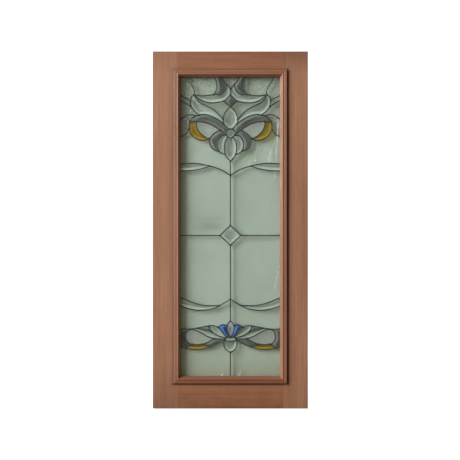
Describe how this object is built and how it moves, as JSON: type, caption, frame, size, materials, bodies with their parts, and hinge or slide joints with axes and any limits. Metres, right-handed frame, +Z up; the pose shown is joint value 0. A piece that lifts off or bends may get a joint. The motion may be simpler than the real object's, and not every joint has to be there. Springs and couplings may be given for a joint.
{
  "type": "leadlight door",
  "caption": "Timber entrance door leaf with one tall glazed panel of leadlight in a symmetrical flower design, held by a raised moulding.",
  "frame": {"origin": "on the hinge edge's flat face, at mid height and mid thickness of the leaf", "axes": "+X across the leaf from the hinge edge to the lock edge, +Z up, the front with the raised moulding faces -Y"},
  "size_m": [0.86, 0.063, 1.98],
  "materials": {
    "stile_timber": "semi-matt, straight grain",
    "rail_timber": "semi-matt, straight grain",
    "moulding_timber": "semi-matt",
    "lead": "dull oxidised lead",
    "clear_glass": "clear, faintly green",
    "bevelled_glass": "clear, ground bevels",
    "grey_glass": "grey, streaky",
    "amber_glass": "amber, streaky",
    "blue_glass": "cobalt blue",
    "lavender_glass": "pale lavender",
    "satin_glass": "satin, pale green"
  },
  "bodies": {
    "root": {"hinge_stile": "stile_timber", "lock_stile": "stile_timber", "top_rail": "rail_timber", "bottom_rail": "rail_timber", "front_moulding_hinge_side": "moulding_timber", "front_moulding_top": "moulding_timber", "front_moulding_lock_side": "moulding_timber", "front_moulding_bottom": "moulding_timber", "back_bead_hinge_side": "moulding_timber", "back_bead_top": "moulding_timber", "back_bead_lock_side": "moulding_timber", "back_bead_bottom": "moulding_timber", "back_pane": "satin_glass", "lead_cames": "lead", "glass_top_clear": "clear_glass", "glass_diamond_grey": "grey_glass", "glass_upper_bud_bevelled": "bevelled_glass", "glass_jewel": "bevelled_glass", "glass_centre_petals": "bevelled_glass", "glass_star_bevelled": "bevelled_glass", "glass_lower_bud": "lavender_glass", "glass_pendant": "bevelled_glass", "left_glass_infill": "clear_glass", "right_glass_infill": "clear_glass", "left_glass_crescent_grey": "grey_glass", "right_glass_crescent_grey": "grey_glass", "left_glass_lens_bevelled": "bevelled_glass", "right_glass_lens_bevelled": "bevelled_glass", "left_glass_heart_clear": "clear_glass", "right_glass_heart_clear": "clear_glass", "left_glass_wing_bevelled": "bevelled_glass", "right_glass_wing_bevelled": "bevelled_glass", "left_glass_band_and_petal_grey": "grey_glass", "right_glass_band_and_petal_grey": "grey_glass", "left_glass_hook_amber": "amber_glass", "right_glass_hook_amber": "amber_glass", "left_glass_eye_clear": "clear_glass", "right_glass_eye_clear": "clear_glass", "left_glass_upper_field": "clear_glass", "right_glass_upper_field": "clear_glass", "left_glass_upper_large": "clear_glass", "right_glass_upper_large": "clear_glass", "left_glass_lower_large": "clear_glass", "right_glass_lower_large": "clear_glass", "left_glass_lower_field": "clear_glass", "right_glass_lower_field": "clear_glass", "left_glass_petal_blue": "blue_glass", "right_glass_petal_blue": "blue_glass", "left_glass_spray_clear": "bevelled_glass", "right_glass_spray_clear": "bevelled_glass", "left_glass_triangle_grey": "grey_glass", "right_glass_triangle_grey": "grey_glass", "left_glass_hollow_grey": "grey_glass", "right_glass_hollow_grey": "grey_glass", "left_glass_inner_grey": "grey_glass", "right_glass_inner_grey": "grey_glass", "left_glass_lens_amber": "amber_glass", "right_glass_lens_amber": "amber_glass", "left_glass_base_clear": "clear_glass", "right_glass_base_clear": "clear_glass"}
  },
  "joints": []
}
